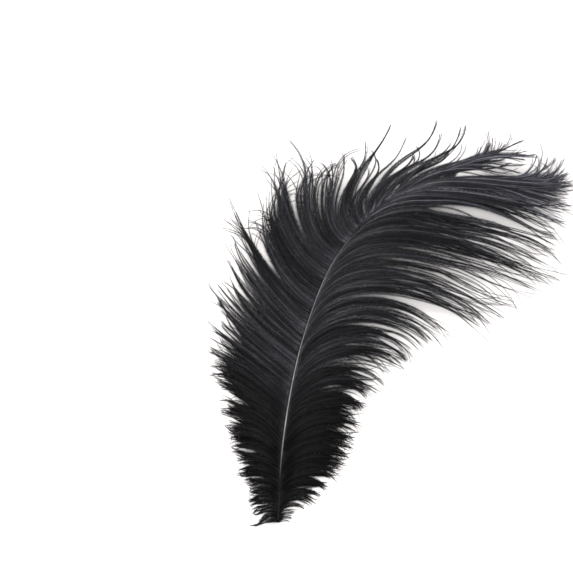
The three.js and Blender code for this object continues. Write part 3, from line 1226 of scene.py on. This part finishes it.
    def _heights(
        self, root: np.ndarray, rows: np.ndarray, length: np.ndarray, t: np.ndarray
    ) -> np.ndarray:
        """Every barb's heights: arched, and ridged across each strand."""
        own = self.uneven
        lift = self.by_strand(own.strand_lift) + self.by_barb(own.barb_lift)
        lift += own.strand_ridge * (0.5 - self.spot**2)
        lift *= 1 + fluffiness(self.places)
        arch = ARCH * length + LOCK_UNEVEN["lift"] * uneven(self.lock + self.side.value, 4)
        z = root[:, None] + (rows[:, 6] - root)[:, None] * t**DROOP_POWER
        z = z + arch[:, None] * np.sin(math.pi * t)
        return z + lift[:, None] * smoothstep(t, *own.lift_span)

    def _parted(self, xy: np.ndarray, t: np.ndarray) -> np.ndarray:
        """How far each point is pushed aside by the partings."""
        way = np.gradient(xy, axis=1)
        way /= np.linalg.norm(way, axis=-1, keepdims=True)
        aside = np.stack([-way[..., 1], way[..., 0]], axis=-1)
        if self.side is Side.LEFT:
            aside = -aside
        push = np.zeros(xy.shape[:2])
        for parting in self.partings:
            near = parting.push(self.places)[:, None]
            push += near * parting.openness(t) * parting.width / 2
        return aside * push[..., None]

    def _tones(self) -> np.ndarray:
        """How light each barb is: painted shade dims it at a strand's edges and low down, and a
        painted sheen lightens it at the shaft's end.
        """
        own = self.uneven
        tone = np.exp(self.by_strand(own.strand_tone) + self.by_barb(own.barb_tone))
        # Painted shade: barbs at a strand's edges are darker, where neighbouring strands meet.
        tone *= 1 + own.edge_shade * (0.5 - own.edge_fall * self.spot**2)
        # Painted shade: the fluffy barbs near the quill are darker.
        tone = np.clip(tone, *own.tone_limits) * (1 - own.low_shade * fluffiness(self.places))
        # Painted sheen: barbs towards the shaft's end are made lighter.
        right = self.side is Side.RIGHT
        sheen_places = own.right_sheen_places if right else own.left_sheen_places
        return tone * (1 + own.end_sheen * smoothstep(self.places, *sheen_places))

    def build(self, shaft: Shaft, fringe: Fringe, material: bpy.types.Material) -> None:
        """Makes the vane's three pieces."""
        lines, tones = self.lines(shaft), self._tones()
        zone = np.searchsorted(self.zones, self.places)
        for number, part in enumerate(("lower", "middle", "upper")):
            strip = Strip()
            for i in np.flatnonzero(zone == number):
                self._barb(strip, fringe, self.places[i], lines[i], tones[i])
            name = f"{self.side.name.lower()}_vane_{part}"
            piece = bpy.data.objects.new(name, strip.mesh(name))
            bpy.context.collection.objects.link(piece)
            piece.data.materials.append(material)
            report(piece)

    def _barb(
        self, strip: Strip, fringe: Fringe, place: float, line: np.ndarray, tone: float
    ) -> None:
        """Adds one barb: its ramus and its barbules.

        Args:
            strip: The mesh that takes the barb.
            fringe: The sizes of ramus and barbules.
            place: The barb's place on the shaft.
            line: The barb's centreline.
            tone: How light the barb is.
        """
        steps = np.linalg.norm(np.diff(line, axis=0), axis=1)
        run = np.concatenate([[0], np.cumsum(steps)])
        teeth = max(fringe.fewest, int(run[-1] / fringe.spacing))
        t = np.linspace(0, 1, teeth + 1)
        points = np.column_stack([np.interp(t * run[-1], run, line[:, k]) for k in range(3)])
        ahead = np.gradient(points, axis=0)
        ahead /= np.linalg.norm(ahead, axis=1, keepdims=True)
        across = np.column_stack([ahead[:, 1], -ahead[:, 0], np.zeros(len(t))])
        across /= np.linalg.norm(across, axis=1, keepdims=True)
        up = np.cross(across, ahead)
        narrowed = (fringe.tip_width - fringe.root_width) * t**fringe.width_power
        half = (fringe.root_width + narrowed) / 2
        from_root = np.exp(-t * run[-1] / fringe.flare_length)
        half += fringe.root_flare / 2 * from_root
        # A painted sheen: the ramus is lighter than its barbules, and lighter still at its root on
        # the shaft's upper part.
        lit = smoothstep(place, *fringe.root_sheen_places)
        light = fringe.ramus_sheen + fringe.root_sheen * from_root * lit
        self._ramus(strip, fringe, points, across, up, half, t, tone * light)

        middle = (t[1:] + t[:-1]) / 2
        from_points = (points[1:] + points[:-1]) / 2
        longest = fringe.barbule_lengths(self.side, place, run[-1], middle)
        straightened = (fringe.tip_lean_degrees - fringe.lean_degrees) * middle
        lean_middle = fringe.lean_degrees + straightened
        for way in (1, -1):
            reach = longest * self.rng.uniform(*fringe.barbule_range, teeth)
            lean = np.radians(lean_middle + self.rng.normal(0, fringe.lean_spread, teeth))
            lift = np.radians(self.rng.normal(-fringe.droop_degrees, fringe.lift_degrees, teeth))
            forward, side = np.cos(lean) * np.cos(lift), way * np.sin(lean) * np.cos(lift)
            tips = from_points + reach[:, None] * (
                ahead[1:] * forward[:, None]
                + across[1:] * side[:, None]
                + up[1:] * np.sin(lift)[:, None]
            )
            tips[:, 2] = np.maximum(tips[:, 2], fringe.floor_gap)
            base = points + across * (way * half * fringe.inset)[:, None]
            j = np.arange(teeth)
            tip = j + teeth + 1
            faces = np.column_stack([j, j + 1, tip] if way < 0 else [j + 1, j, tip])
            uv = np.concatenate([
                np.column_stack([np.full(teeth + 1, way * BARBULE_ROOT_ACROSS), t]),
                np.column_stack([np.full(teeth, way * BARBULE_TIP_ACROSS), middle]),
            ])
            # Painted shade: barbules are darker at their tips.
            tip_tone = tone * fringe.tip_shade
            shade = np.concatenate([np.full(teeth + 1, tone), np.full(teeth, tip_tone)])
            strip.take(np.concatenate([base, tips]), faces, uv, shade)
        strip.barbs += 1

    def _ramus(
        self,
        strip: Strip,
        fringe: Fringe,
        points: np.ndarray,
        across: np.ndarray,
        up: np.ndarray,
        half: np.ndarray,
        t: np.ndarray,
        tone: np.ndarray,
    ) -> None:
        """Adds a barb's ramus, three-sided, closed at its root and pointed at its tip.

        Args:
            strip: The mesh that takes it.
            fringe: Its sizes.
            points: The barb's centreline.
            across: For each point, the direction across the barb.
            up: For each point, the direction up from the barb.
            half: For each point, half the ramus's width.
            t: For each point, its share of the barb's length.
            tone: For each point, how light the ramus is.
        """
        even = np.linspace(fringe.even_from, len(t) - 1, fringe.rings)
        at = np.concatenate([fringe.root_rings, even]).astype(int)
        at = np.unique(np.minimum(at, len(t) - 1))
        height = fringe.thickness * np.minimum(half[at] / half[at[-1] // 3], 1)
        left = points[at] - across[at] * half[at][:, None]
        right = points[at] + across[at] * half[at][:, None]
        top = points[at] + up[at] * height[:, None]
        verts = np.stack([left, right, top], axis=1).reshape(-1, 3)
        verts[-3:] = points[-1]
        a = np.arange(0, 3 * (len(at) - 1), 3)[:, None] + np.arange(3)
        b = a[:, [1, 2, 0]]
        faces = np.concatenate([
            np.stack([a, b + 3, b], axis=-1).reshape(-1, 3),
            np.stack([a, a + 3, b + 3], axis=-1).reshape(-1, 3),
            np.array([[0, 1, 2]]),
        ])
        uv = np.column_stack([np.tile(RAMUS_ACROSS, len(at)), np.repeat(t[at], 3)])
        strip.take(verts, faces, uv, np.repeat(tone[at], 3))


# ---- The studio -----------------------------------------------------------------------------------


@dataclass(frozen=True)
class Lamp:
    """A soft square lamp that faces the feather.

    Attributes:
        name: Its name.
        place: Where it hangs, in metres.
        size: Its width in metres.
        power: Its power in watts.
    """

    name: str
    place: tuple[float, float, float]
    size: float
    power: float

    def build(self) -> None:
        """Hangs the lamp."""
        lamp = bpy.data.lights.new(self.name, "AREA")
        lamp.size = self.size
        lamp.energy = self.power
        light = bpy.data.objects.new(self.name, lamp)
        light.location = self.place
        light.rotation_euler = (-Vector(self.place)).to_track_quat("-Z", "Y").to_euler()
        bpy.context.collection.objects.link(light)


@dataclass
class Studio:
    """The pale floor, the soft light and the camera, which looks straight down.

    Attributes:
        floor_size: The floor's width in metres.
        view_centre: The point that the camera looks at.
        view_width: How wide the view is there.
        lens: The camera's focal length.
        sensor: Its sensor's width.
        sky: How bright the sky is.
        sky_colour: The sky's colour.
        lamps: The lamps.
    """

    floor_size: float = 9.0
    view_centre: tuple[float, float] = (-58.7, 18.7)
    view_width: float = 315.0
    lens: float = 85.0
    sensor: float = 36.0
    sky: float = 0.8
    sky_colour: tuple[float, ...] = colour(0.99, 0.99, 1.0)
    lamps: tuple[Lamp, ...] = (
        Lamp("key", (-0.25, 0.85, 1.05), 0.6, 22.0),
        Lamp("fill", (0.7, -0.2, 1.2), 1.2, 5.0),
        Lamp("top", (-0.06, 0.02, 1.3), 0.3, 10.0),
    )

    def build(self) -> None:
        """Makes all of it."""
        self._floor()
        for lamp in self.lamps:
            lamp.build()
        self._world()
        self._camera()
        bpy.context.scene.view_settings.view_transform = "Standard"

    def _floor(self) -> None:
        """The floor, at the height that the feather lies on."""
        shape = bmesh.new()
        bmesh.ops.create_grid(shape, x_segments=1, y_segments=1, size=self.floor_size / 2)
        mesh = bpy.data.meshes.new("floor")
        shape.to_mesh(mesh)
        shape.free()
        floor = bpy.data.objects.new("floor", mesh)
        bpy.context.collection.objects.link(floor)
        mesh.materials.append(PaleFloor().material())

    def _world(self) -> None:
        """An even, nearly white sky."""
        world = bpy.data.worlds.new("sky")
        world.use_nodes = True
        sky = world.node_tree.nodes["Background"]
        sky.inputs["Color"].default_value = self.sky_colour
        sky.inputs["Strength"].default_value = self.sky
        bpy.context.scene.world = world

    def _camera(self) -> None:
        """The camera, as high as its lens needs for the view's width."""
        eye = bpy.data.cameras.new("camera")
        eye.lens = self.lens
        eye.sensor_width = self.sensor
        camera = bpy.data.objects.new("camera", eye)
        height = self.view_width * MM * self.lens / self.sensor
        camera.location = (self.view_centre[0] * MM, self.view_centre[1] * MM, height)
        bpy.context.collection.objects.link(camera)
        bpy.context.scene.camera = camera


def vanes() -> list[Vane]:
    """Both vanes of the feather."""
    return [
        Vane(Side.RIGHT, RIGHT_BARBS, locks=34, barbs=680, low_crowding=1.1),
        Vane(Side.LEFT, LEFT_BARBS, locks=32, barbs=740),
    ]


def main() -> None:
    """Builds the feather and its studio."""
    logging.basicConfig(level=logging.INFO, format="%(name)s: %(message)s")
    Studio().build()
    shaft = Shaft()
    shaft.build(StainedHorn())
    barbs = DyedBarbs().material()
    fringe = Fringe()
    for vane in vanes():
        vane.build(shaft, fringe, barbs)


if __name__ == "__main__":
    main()
